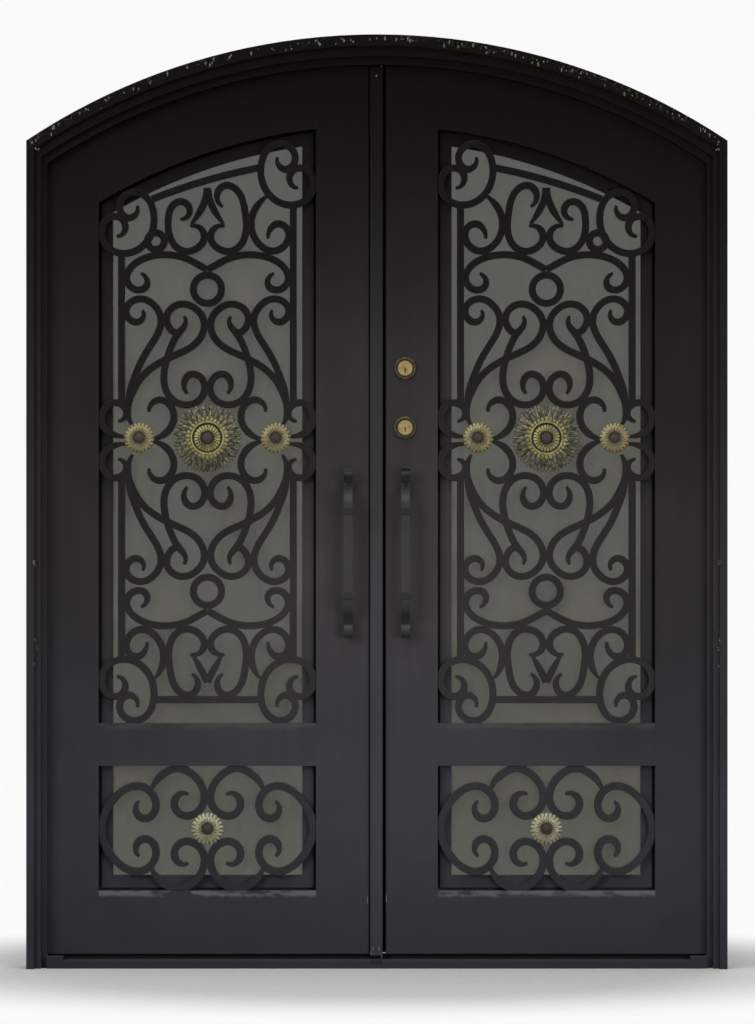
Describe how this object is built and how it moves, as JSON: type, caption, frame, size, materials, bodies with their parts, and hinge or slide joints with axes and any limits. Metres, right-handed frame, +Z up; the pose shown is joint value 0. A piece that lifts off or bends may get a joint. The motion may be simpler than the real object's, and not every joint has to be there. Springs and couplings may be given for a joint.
{
  "type": "double entry door",
  "caption": "Arched double entry door of dark wrought iron: glazed leaves with scrollwork and gold rosettes, pull handles and brass locks, hung in a stepped frame to open inward.",
  "frame": {"origin": "middle of the threshold's underside, half way through the frame's depth", "axes": "+Z up, -Y towards the street side with the pull handles, +X to the right seen from the street"},
  "size_m": [1.829, 0.1485, 2.438],
  "materials": {
    "frame_paint": "satin, dusty",
    "leaf_paint": "satin, dusty",
    "bar_paint": "satin",
    "handle_paint": "satin",
    "hinge_paint": "satin",
    "sill_paint": "worn, dusty",
    "glass": "clear",
    "antique_gold": "antique gold leaf",
    "lock_brass": "polished, worn"
  },
  "bodies": {
    "frame": {"left_jamb": "frame_paint", "right_jamb": "frame_paint", "arched_head": "frame_paint", "threshold": "sill_paint", "left_jamb_hinges": "hinge_paint", "right_jamb_hinges": "hinge_paint"},
    "left_leaf": {"left_hinge_stile": "leaf_paint", "left_meeting_stile": "leaf_paint", "left_top_rail": "leaf_paint", "left_middle_rail": "leaf_paint", "left_bottom_rail": "leaf_paint", "left_sash_hinge_bar": "leaf_paint", "left_sash_meeting_bar": "leaf_paint", "left_sash_top_bar": "leaf_paint", "left_sash_bottom_bar": "leaf_paint", "left_glass": "glass", "left_upper_scrollwork": "bar_paint", "left_lower_scrollwork": "bar_paint", "left_centre_rosette": "antique_gold", "left_side_rosettes": "antique_gold", "left_lower_rosette": "antique_gold", "left_pull_handle": "handle_paint", "left_leaf_hinges": "hinge_paint", "astragal": "leaf_paint"},
    "right_leaf": {"right_hinge_stile": "leaf_paint", "right_meeting_stile": "leaf_paint", "right_top_rail": "leaf_paint", "right_middle_rail": "leaf_paint", "right_bottom_rail": "leaf_paint", "right_sash_hinge_bar": "leaf_paint", "right_sash_meeting_bar": "leaf_paint", "right_sash_top_bar": "leaf_paint", "right_sash_bottom_bar": "leaf_paint", "right_glass": "glass", "right_upper_scrollwork": "bar_paint", "right_lower_scrollwork": "bar_paint", "right_centre_rosette": "antique_gold", "right_side_rosettes": "antique_gold", "right_lower_rosette": "antique_gold", "right_pull_handle": "handle_paint", "right_leaf_hinges": "hinge_paint", "upper_lock": "lock_brass", "lower_lock": "lock_brass"}
  },
  "joints": [
    {"name": "left_leaf_hinge", "type": "hinge", "parent": "frame", "child": "left_leaf", "pos_m": [-0.874, 0.0735, 1.1], "axis": [0, 0, 1], "range_deg": [0, 100]},
    {"name": "right_leaf_hinge", "type": "hinge", "parent": "frame", "child": "right_leaf", "pos_m": [0.874, 0.0735, 1.1], "axis": [0, 0, -1], "range_deg": [0, 100]}
  ]
}
